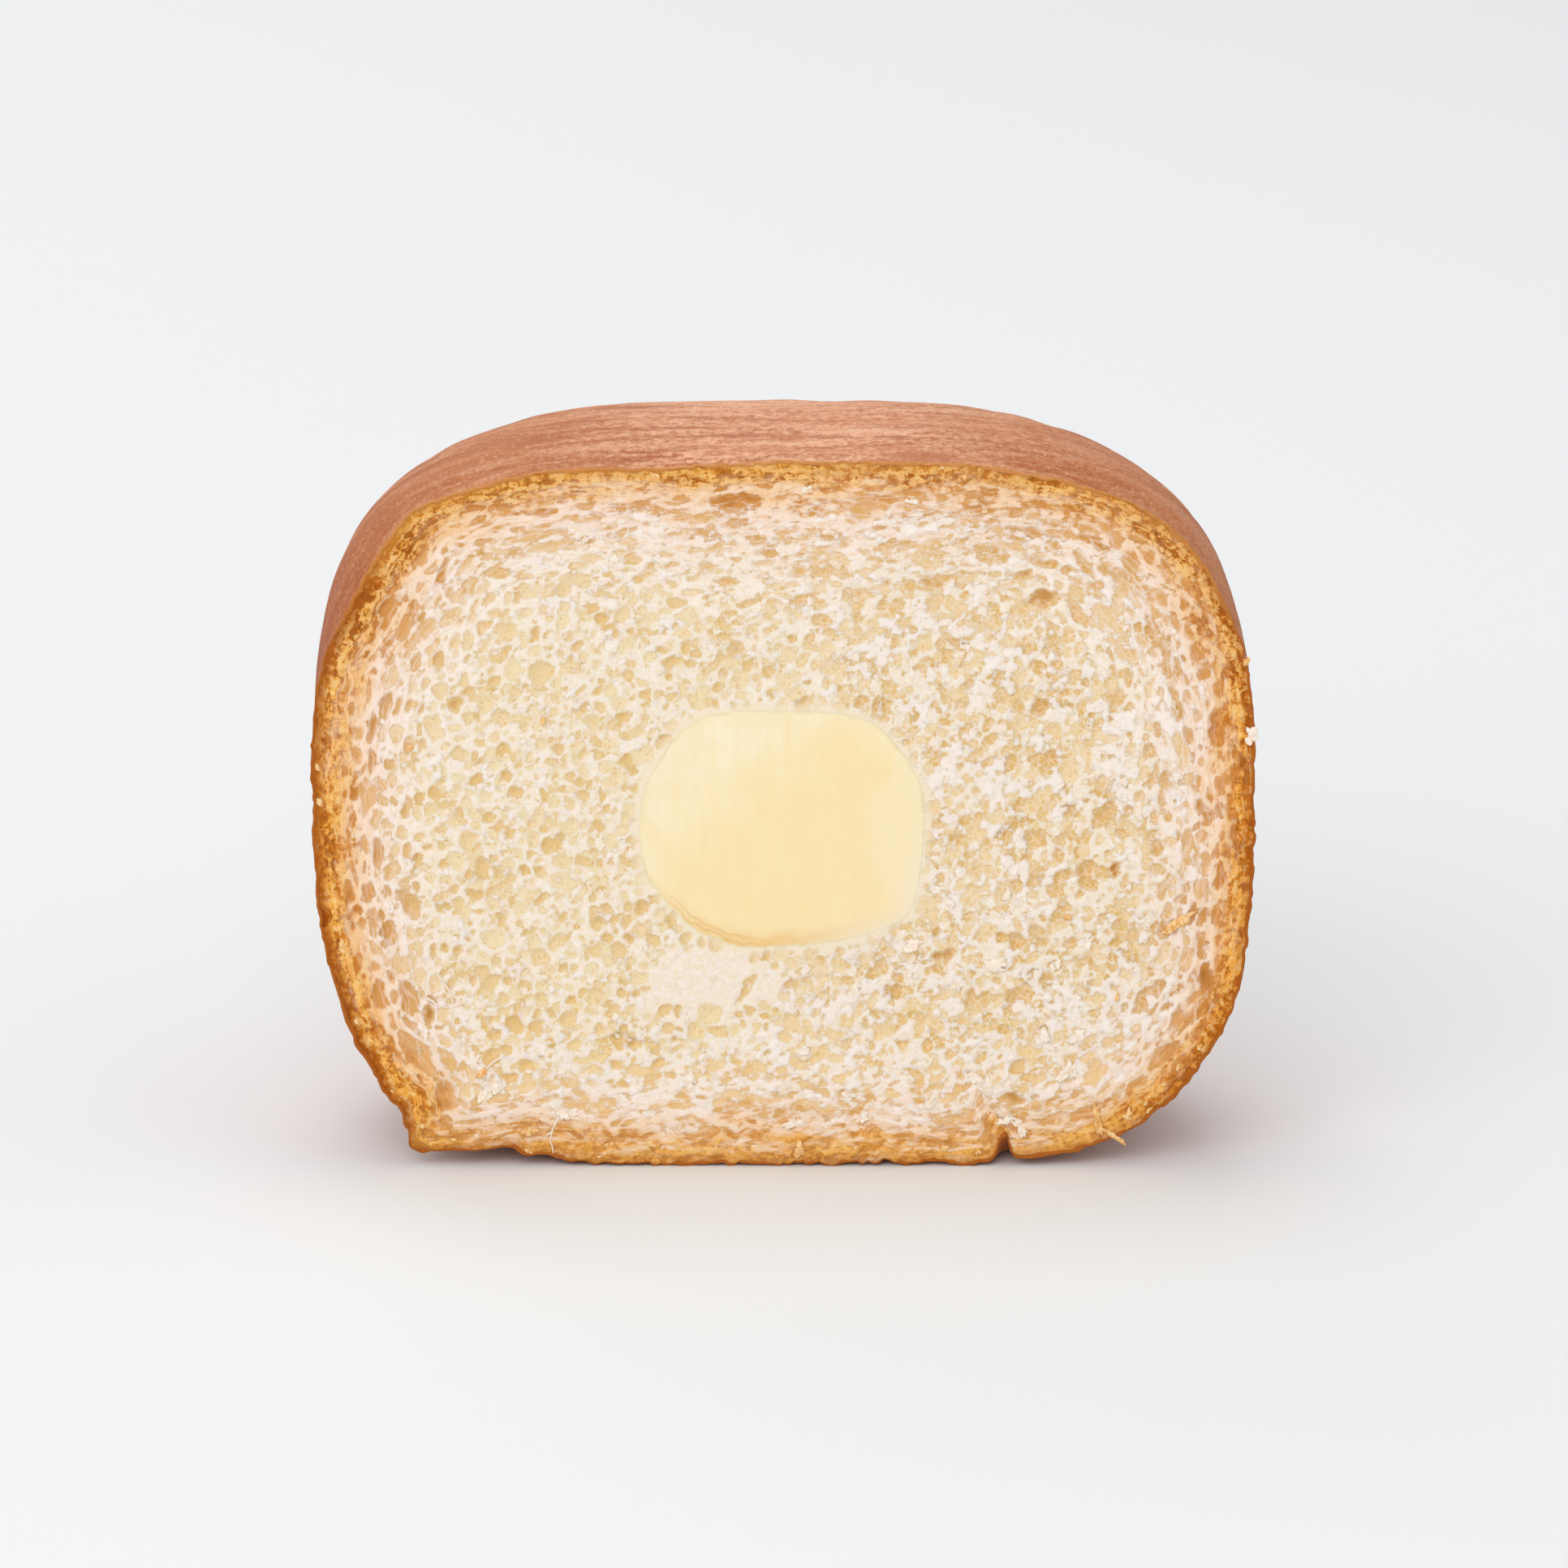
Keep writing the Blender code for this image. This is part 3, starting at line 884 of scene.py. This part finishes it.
    # Thin ochre lines round the rims of some bubbles: partly ochre specks of the dough, partly
    # painted shade at the rims
    ochre_line_and_shade = times(between(edge, 0.0, 0.05), between(edge, 0.05, 0.2, 1.0, 0.0))
    ochre_line_and_shade = times(ochre_line_and_shade, between(blur, 0.54, 0.72, 0.0, 0.5))
    color = tint(ochre_line_and_shade, color, (210, 154, 64))
    beside = between(mark(place, "past_cheese"), 0.2, 1.4, 0.75, 0.0)
    color = tint(beside, color, (246, 230, 200))
    # Painted light: towards the base the crumb is lightened, its bubbles' floors to a warm yellow
    painted_low_light = tint(opened, (255, 245, 239), (254, 216, 140))
    color = tint(between(height, 6 * MM, 22 * MM, 0.26, 0.0), color, painted_low_light)

    base = between(height, 2 * MM, 8 * MM, 1.0, 0.0)
    reach = times_plus(grain(flow, 1.6 * MM, 5.0, 0.7), -9.0, depth)
    reach = plus(reach, mark(place, "bake"))
    reach = times_plus(rag, times_plus(base, -4.0, -3.0), reach)
    layers = grain(stretched(place, (0.14, 1.0, 1.0)), 0.9 * MM, 4.0, 0.6)
    layers = times(minus(layers, 0.5), base)
    reach = times_plus(layers, -13.0, reach)
    # Painted shade: in the toasted zone the opened bubbles' floors are darker than the walls
    toasted = tint(opened, (248, 204, 148), (218, 150, 76))
    color = tint(between(reach, -3.2, 3.2, 0.88, 0.0), color, toasted)
    clumps = grain(place, 0.7 * MM, 5.0, 0.7, 0.4)
    streak = grain(flow, 0.8 * MM, 5.0, 0.72, 0.5)
    streak = minus(plus(clumps, streak), 1.0)
    streak = times(streak, times_plus(crown, 1.3, 1.0))
    streak = plus(streak, 0.5)
    # Painted shade: in the golden rim too the opened bubbles' floors are darker
    golden = tint(opened, (244, 172, 60), (210, 124, 6))
    golden = tint(between(streak, 0.38, 0.49, 0.96, 0.0), golden, (168, 86, 0))
    golden = tint(between(streak, 0.54, 0.64, 0.0, 0.75), golden, (255, 212, 142))
    # Painted light: the golden rim is lightened along the base
    golden = tint(times(base, 0.3), golden, (255, 206, 116))
    rim = between(reach, -3.8, -0.1, 0.95, 0.0)
    color = tint(rim, color, golden)
    skin = tint(between(height, 60 * MM, 72 * MM), (172, 88, 6), (226, 154, 58))
    left = between(place_part(place, "X"), -44 * MM, -24 * MM, 0.92, 0.4)
    color = tint(between(depth, 0.3, 1.7, left, 0.0), color, skin)
    pits = relief(times(opened, -1.0), 0.16 * MM, 0.6)
    pits = relief(larger(lace, threads), 0.09 * MM, 0.5, pits)
    pits = relief(times(streak, rim), 0.5 * MM, 0.4, pits)
    inputs = {
        "Base Color": color,
        "Roughness": 0.62,
        "IOR": 1.38,
        "Specular IOR Level": 0.25,
        "Subsurface Weight": 0.3,
        "Subsurface Radius": (1.0, 0.8, 0.6),
        "Subsurface Scale": 0.25 * MM,
        "Normal": relief(rag, 0.18 * MM, 0.6, pits),
    }
    return set_shader(material, inputs)


def make_crumb():
    bm = bmesh.new()
    places = face_grid(bm)
    maps = face_maps(places)
    proud, marks = face_relief(maps)
    layers = [bm.verts.layers.float.new(name) for name in marks]
    flow_layer = bm.verts.layers.float_vector.new("flow")
    columns = [values.ravel() for values in marks.values()]
    flows = maps.flow.reshape(-1, 3)
    for vertex, out, flow, *values in zip(list(bm.verts), proud.ravel(), flows, *columns):
        vertex.co.y = CUT_Y + CRUMB_RECESS - out
        vertex[flow_layer] = flow
        for layer, value in zip(layers, values):
            vertex[layer] = value
    keep_face(bm, maps)
    outer, inner = snap_edges(bm)
    for edge in outer + inner:
        edge.smooth = False
    outer = pull_in(bm, outer, *CRUMB_LIP)
    core = skin_points(CRUST_BACKING + 0.1 * MM)
    outer_rim = ringed_dome(bm, CRUMB_CORE_RINGS, CORE_STRIDE, core)
    bmesh.ops.bridge_loops(bm, edges=outer + outer_rim)
    pocket_rings = range(POCKET_FIRST_RING, CHEESE_RINGS)
    pocket_rim = ringed_dome(bm, pocket_rings, CORE_STRIDE, cheese_points(CHEESE_GAP))
    bmesh.ops.bridge_loops(bm, edges=inner + pocket_rim)
    tuck_lip(bm)
    crumb = finished_piece("crumb", bm, crumb_finish())
    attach(crumb, "root")
    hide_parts("bread")
    return maps, proud, marks


face, face_proud, face_marks = make_crumb()

# ----------------------------------------
# The cheese: a lump of soft, pale cheese folded into the dough before baking. It melted a little
# where it touches the crumb, so thin amber skins run along its lower edge.
# ----------------------------------------
CHEESE_FACE_RINGS = 26
CHEESE_STRIDE = 3  # it has one point for this many of the crust's
CHEESE_RECESS = 0.06 * MM  # behind the cut


def cheese_finish():
    material, place = new_finish("soft_cheese")
    edge = mark(place, "from_edge")
    across, up = place_part(place, "X"), place_part(place, "Z")
    pulls = grain(stretched(place, (1.0, 1.0, 0.1)), 0.9 * MM, 4.0, 0.6)
    clouds = grain(place, 4.0 * MM, 3.0)
    wobble = times_plus(grain(place, 2.2 * MM, 4.0), 1.6, edge)
    rise = times_plus(across, -0.8, up)
    pale = between(rise, 38 * MM, 54 * MM, 0.0, 0.8)
    color = tint(pale, (251, 230, 182), (253, 241, 218))
    edging = between(wobble, 1.2, 3.6, 0.6, 0.0)
    color = tint(edging, color, (252, 236, 204))
    color = tint(between(pulls, 0.36, 0.66, 0.25, 0.0), color, (248, 221, 162))
    color = tint(between(clouds, 0.4, 0.62, 0.3, 0.0), color, (247, 221, 164))
    # On the right, a band that melted into the crumb
    band = between(times_plus(wobble, 0.6 * MM, across), 12.6 * MM, 13.4 * MM)
    color = tint(times(band, 0.8), color, (250, 231, 192))
    low = between(up, 24 * MM, 33 * MM, 1.0, 0.0)
    melted = times(low, between(wobble, 1.2, 3.2, 0.85, 0.0))
    color = tint(melted, color, (240, 202, 134))
    left = between(across, -9 * MM, 2 * MM, 1.0, 0.0)
    for depth in (1.2, 1.75):
        away = unsigned(minus(wobble, depth))
        skin = times(low, between(away, 0.02, 0.16, 0.6, 0.0))
        color = tint(times(skin, left), color, (222, 178, 106))
    outline = between(clouds, 0.4, 0.6, 0.15, 0.8)
    outline = times(outline, between(wobble, 0.8, 1.15, 1.0, 0.0))
    color = tint(outline, color, (240, 219, 176))
    # At its lower right it has no edge of its own
    corner = between(minus(across, up), -26 * MM, -15 * MM)
    lost = times(corner, between(wobble, 0.9, 3.4, 0.85, 0.0))
    color = tint(lost, color, (247, 233, 204))
    inputs = {
        "Base Color": color,
        "Roughness": between(clouds, 0.35, 0.65, 0.42, 0.55),
        "IOR": 1.42,
        "Specular IOR Level": 0.4,
        "Subsurface Weight": 0.35,
        "Subsurface Radius": (1.0, 0.85, 0.6),
        "Subsurface Scale": 0.4 * MM,
        "Normal": relief(pulls, 0.06 * MM, 0.5),
    }
    return set_shader(material, inputs)


def make_cheese():
    bm = bmesh.new()
    body = cheese_points(0.0)
    shares = np.append(np.linspace(0, 0.99, CHEESE_FACE_RINGS - 1) ** 0.7, (0.997, 1))
    shares = shares[:, None, None]
    from_hub = body[0] - CHEESE_HUB
    face = from_hub * shares + CHEESE_HUB
    reach = np.linalg.norm(from_hub, axis=-1)
    from_edge = reach * (1 - shares[..., 0])
    flat = face.reshape(-1, 3)
    knife = 0.01 * MM * dough_noise(flat * (1.0, 1.0, 0.15), 1.4 * MM, 51)
    knife = knife + 0.12 * MM * dough_noise(flat, 6 * MM, 52)
    inner = ease(from_edge, 0, 4 * MM)
    face[..., 1] += CHEESE_RECESS + knife.reshape(from_edge.shape) * inner
    body[1:, :, 1] += CHEESE_RECESS
    points = np.concatenate([face, body[1:]])
    rim = ringed_dome(bm, range(len(points)), CHEESE_STRIDE, points)
    front = list(dict.fromkeys(vertex for edge in rim for vertex in edge.verts))
    bmesh.ops.pointmerge(bm, verts=front, merge_co=face[0].mean(axis=0))
    layer = bm.verts.layers.float.new("from_edge")
    for vertex in bm.verts:
        away = vertex.co - CHEESE_HUB
        turn = math.atan2(away.z, away.x)
        out = math.hypot(away.x, away.z)
        edge = np.interp(turn, ring_angles, reach, period=2 * np.pi)
        vertex[layer] = (edge - out) / MM if away.y < 0.5 * MM else 0.0
    bmesh.ops.recalc_face_normals(bm, faces=bm.faces)
    for edge in bm.edges:
        edge.smooth = edge.calc_face_angle(0) < math.radians(50)
    cheese = finished_piece("cheese_lump", bm, cheese_finish())
    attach(cheese, "root")
    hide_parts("cheese")


make_cheese()

# ----------------------------------------
# What the knife tore loose: flakes of soft crumb standing on the walls, baked bits along the
# base and the flanks, and strands of dough that were pulled out and hang at their lower ends.
# ----------------------------------------
FLAKE_COUNT = 16
RIM_BIT_COUNT = 80
# Larger torn bits: across, up, length, width, tilt in degrees
WHITE_TUFTS = (
    (15.8, 7.0, 2.6, 1.0, 55),
    (-31.2, 8.4, 2.3, 1.2, 40),
    (-23.2, 5.8, 1.9, 0.9, 10),
    (-20.6, 68.4, 1.0, 0.5, 20),
    (-17.9, 66.3, 0.9, 0.6, 60),
    (2.4, 73.7, 0.9, 0.4, 30),
    (13.3, 72.5, 1.2, 0.5, 10),
    (-9.9, 9.1, 1.2, 0.8, 80),
    (23.6, 5.0, 1.8, 0.8, 10),
    (25.3, 4.1, 2.2, 0.8, -62),
    (31.0, 14.2, 1.5, 0.9, 30),
    (49.2, 47.3, 1.2, 0.9, 70),
    (7.5, 19.6, 1.2, 0.7, 60),
    (7.4, 7.6, 2.4, 0.7, -20),
    (1.2, 4.8, 1.6, 0.8, 10),
    (8.5, 5.6, 1.2, 0.7, 60),
    (20.5, 9.6, 1.5, 0.8, -50),
    (22.6, 22.2, 1.8, 1.1, 30),
    (13.6, 24.2, 1.4, 0.9, 40),
    (28.7, 22.0, 1.2, 0.8, 50),
    (30.0, 10.4, 1.9, 0.8, 60),
)
BAKED_CRUMBS = (
    (41.9, 26.9, 4.0, 0.9, 38),
    (-39.5, 45.8, 0.7, 0.5, 90),
    (-32.2, 10.3, 1.3, 0.7, 40),
    (-27.3, 3.9, 1.4, 0.8, 10),
    (30.0, 27.6, 0.7, 0.5, 20),
    (35.4, 18.8, 0.8, 0.35, 80),
    (-39.0, 50.7, 0.5, 0.4, 0),
    (-25.4, 48.9, 0.7, 0.4, 70),
    (48.6, 55.4, 0.9, 0.6, 60),
    (1.6, 1.8, 1.7, 1.0, 80),
    (33.4, 4.9, 3.2, 0.7, -80),
    (35.2, 3.4, 2.6, 0.5, -35),
)
STRAND_RADIUS = 0.14 * MM  # at its root
# The points that each pulled strand runs through, across and up
STRANDS = (
    ((-24.0, 5.6), (-24.9, 3.2), (-24.6, 1.2)),
    ((-24.9, 3.7), (-25.6, 3.2)),
    ((-29.4, 12.6), (-31.5, 10.9), (-32.2, 8.4)),
    ((-36.6, 21.0), (-35.2, 18.4), (-35.6, 15.4)),
    ((-38.0, 18.6), (-35.9, 17.6), (-33.6, 18.2)),
)


def on_face(across, up, lift):
    """The point of the crumb's surface there, with a lift out of the face."""
    out = face_proud[cell(face, across, up)]
    return Vector((across, CUT_Y + CRUMB_RECESS - out - lift, up))


def ragged_bit(bm, place, sizes, tilt, rng, detail=3):
    """A small torn shred, flattened against the face and ragged all round."""
    turn = Matrix.Rotation(-tilt, 4, "Y") @ Matrix.Rotation(rng.uniform(-0.4, 0.4), 4, "X")
    shape = Matrix.Translation(place) @ turn @ Matrix.Diagonal((*sizes, 1))
    made = bmesh.ops.create_icosphere(bm, subdivisions=detail, radius=1)["verts"]
    points = np.array([vertex.co for vertex in made]) + rng.uniform(-40, 40, 3)
    swell = 0.6 * dough_noise(points, 0.8, 61) + 0.5 * dough_noise(points, 0.4, 62)
    for vertex, more in zip(made, swell):
        vertex.co *= max(0.25, 1 + more)
    bmesh.ops.transform(bm, verts=made, matrix=shape)
    for vertex in made:
        vertex.co.z = max(vertex.co.z, 0)


def torn_finish(name, fair, deep):
    material, place = new_finish(name)
    mottle = grain(place, 0.5 * MM, 4.0, 0.65)
    inputs = {
        "Base Color": tint(between(mottle, 0.38, 0.6), deep, fair),
        "Roughness": 0.6,
        "IOR": 1.38,
        "Specular IOR Level": 0.25,
        "Subsurface Weight": 0.15,
        "Subsurface Radius": (1.0, 0.85, 0.7),
        "Subsurface Scale": 0.12 * MM,
        "Normal": relief(mottle, 0.14 * MM, 0.7),
    }
    return set_shader(material, inputs)


def place_torn(name, bm, material):
    piece = finished_piece(name, bm, material)
    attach(piece, "root")


def make_flakes():
    bm = bmesh.new()
    rng = np.random.default_rng(71)
    torn = face_marks["torn"]
    clear = (face.under_crust > 3 * MM) & (face.past_cheese > 3 * MM)
    rows, columns = np.nonzero((torn > 0.1) & (face.ragged > 0.6) & clear)
    for index in rng.choice(len(rows), FLAKE_COUNT, replace=False):
        at = rows[index], columns[index]
        across, up = face.across[at], face.up[at]
        along = math.atan2(face.along_up[at], face.along_across[at])
        tilt = along + rng.normal(0, 1.2 - 0.8 * face.drawn[at])
        size = 0.3 * MM * math.exp(rng.normal(0, 0.35))
        sizes = (size * rng.uniform(1.2, 2.2), 0.3 * size, size)
        ragged_bit(bm, on_face(across, up, 0.02 * MM), sizes, tilt, rng)
    for across, up, length, width, tilt in WHITE_TUFTS:
        for step in range(3):
            slide = (step / 2 - 0.5) * 0.6 * length * MM
            turn = math.radians(tilt)
            spot = on_face(
                across * MM + slide * math.cos(turn) + rng.normal(0, 0.12 * MM),
                up * MM + slide * math.sin(turn) + rng.normal(0, 0.12 * MM),
                0.08 * MM,
            )
            half = width * MM * rng.uniform(0.35, 0.5)
            sizes = (1.5 * half, 0.35 * half, half)
            ragged_bit(bm, spot, sizes, turn + rng.normal(0, 0.4), rng, detail=4)
    white = torn_finish("torn_crumb", (252, 240, 226), (248, 228, 204))
    place_torn("torn_flakes", bm, white)


def make_baked_bits():
    bm = bmesh.new()
    rng = np.random.default_rng(72)
    for across, up, length, width, tilt in BAKED_CRUMBS:
        spot = on_face(across * MM, up * MM, 0.2 * MM)
        sizes = (length / 2 * MM, width * 0.35 * MM, width / 2 * MM)
        ragged_bit(bm, spot, sizes, math.radians(tilt), rng, detail=4)
    for _ in range(RIM_BIT_COUNT):
        turn = rng.uniform(-math.pi, math.pi)
        low = min(max(-math.sin(turn) * 1.5, 0.1), 1)
        if rng.random() > low:
            continue
        out = float(cut_reach(turn, rng.uniform(0.4, 1.0 + 2.2 * low) * MM))
        across, up = out * math.cos(turn), WAIST.z + out * math.sin(turn)
        size = 0.24 * MM * math.exp(rng.normal(0, 0.3))
        sizes = (size * rng.uniform(1.2, 2.4), 0.4 * size, size)
        spot = on_face(across, max(up, size), 0.03 * MM)
        ragged_bit(bm, spot, sizes, turn + math.pi / 2 + rng.normal(0, 0.7), rng)
    gold = torn_finish("baked_bits", (252, 214, 156), (228, 164, 84))
    place_torn("baked_crumbs", bm, gold)


def make_strands():
    """Each strand is a curve through its points, thick at its root and thin at its end."""
    data = bpy.data.curves.new("strands", "CURVE")
    data.dimensions = "3D"
    data.bevel_depth = STRAND_RADIUS
    data.bevel_resolution = 2
    data.use_fill_caps = True
    data.resolution_u = 6
    for run in STRANDS:
        spline = data.splines.new("BEZIER")
        spline.bezier_points.add(len(run) - 1)
        for index, (point, (across, up)) in enumerate(zip(spline.bezier_points, run)):
            share = index / (len(run) - 1)
            point.co = on_face(across * MM, up * MM, (0.05 + 0.25 * share * (1 - share)) * MM)
            point.radius = 1.0 - 0.6 * share
            point.handle_left_type = "AUTO"
            point.handle_right_type = "AUTO"
    curve = bpy.data.objects.new("strand_curves", data)
    bpy.context.scene.collection.objects.link(curve)
    bpy.context.view_layer.update()
    mesh = curve.evaluated_get(bpy.context.evaluated_depsgraph_get()).to_mesh()
    bm = bmesh.new()
    bm.from_mesh(mesh)
    bpy.data.objects.remove(curve, do_unlink=True)
    bmesh.ops.remove_doubles(bm, verts=bm.verts, dist=0.01 * MM)
    points = np.array([vertex.co for vertex in bm.verts])
    for axis in range(3):
        shift = 0.07 * MM * dough_noise(points, 0.45 * MM, 63 + axis)
        for vertex, more in zip(bm.verts, shift):
            vertex.co[axis] += more
    for vertex in bm.verts:
        vertex.co.z = max(vertex.co.z, 0)
    pulled = torn_finish("pulled_dough", (249, 235, 220), (243, 218, 190))
    place_torn("pulled_strands", bm, pulled)


make_flakes()
make_baked_bits()
make_strands()

# ----------------------------------------
# Camera, light and floor: the camera stands as the photo's did, a little above the bun, and the
# bun stands on a pale matt floor in a white room, under three soft boxes.
# ----------------------------------------
CAMERA_ELEVATION = math.radians(14)
CAMERA_DISTANCE = 0.8
LOOK_AT = Vector((0, CUT_Y, 42.06 * MM))
FOCAL_PIXELS = 9344
PHOTO_WIDTH = 1932
SENSOR_WIDTH = 36  # in millimetres, as its lens is
LIGHTS_AIM = Vector((0, 0, 0.04))
FLOOR_RADIUS = 6

camera = bpy.data.objects.new("camera", bpy.data.cameras.new("camera"))
bpy.context.scene.collection.objects.link(camera)
camera.data.sensor_width = SENSOR_WIDTH
camera.data.lens = SENSOR_WIDTH * FOCAL_PIXELS / PHOTO_WIDTH
camera.data.clip_start = 0.01
camera.location = LOOK_AT + CAMERA_DISTANCE * Vector(
    (0, -math.cos(CAMERA_ELEVATION), math.sin(CAMERA_ELEVATION))
)
camera.rotation_euler = (math.radians(90) - CAMERA_ELEVATION, 0, 0)
bpy.context.scene.camera = camera


def soft_box(name, place, size, power):
    light = bpy.data.lights.new(name, "AREA")
    light.shape = "RECTANGLE"
    light.size, light.size_y = size
    light.energy = power
    lamp = bpy.data.objects.new(name, light)
    lamp.location = place
    lamp.rotation_euler = (LIGHTS_AIM - Vector(place)).to_track_quat("-Z", "Y").to_euler()
    bpy.context.scene.collection.objects.link(lamp)


soft_box("front_box", (-0.4, -1.25, 0.9), (1.4, 1.0), 9.6)
soft_box("top_box", (-0.1, 0.38, 1.35), (0.7, 0.6), 3.2)
soft_box("back_box", (-0.6, 1.2, 0.8), (1.0, 0.6), 2.6)

world = bpy.data.worlds.new("white_room")
world.use_nodes = True
world.node_tree.nodes["Background"].inputs["Color"].default_value = (1.0, 1.0, 1.0, 1)
world.node_tree.nodes["Background"].inputs["Strength"].default_value = 0.64
bpy.context.scene.world = world
bpy.context.scene.view_settings.view_transform = "Standard"

floor_bm = bmesh.new()
bmesh.ops.create_circle(floor_bm, cap_ends=True, segments=96, radius=FLOOR_RADIUS)
floor_material = new_finish("floor")[0]
set_shader(floor_material, {"Base Color": (0.873, 0.882, 0.893, 1), "Roughness": 0.9})
floor = finished_piece("floor", floor_bm, floor_material)
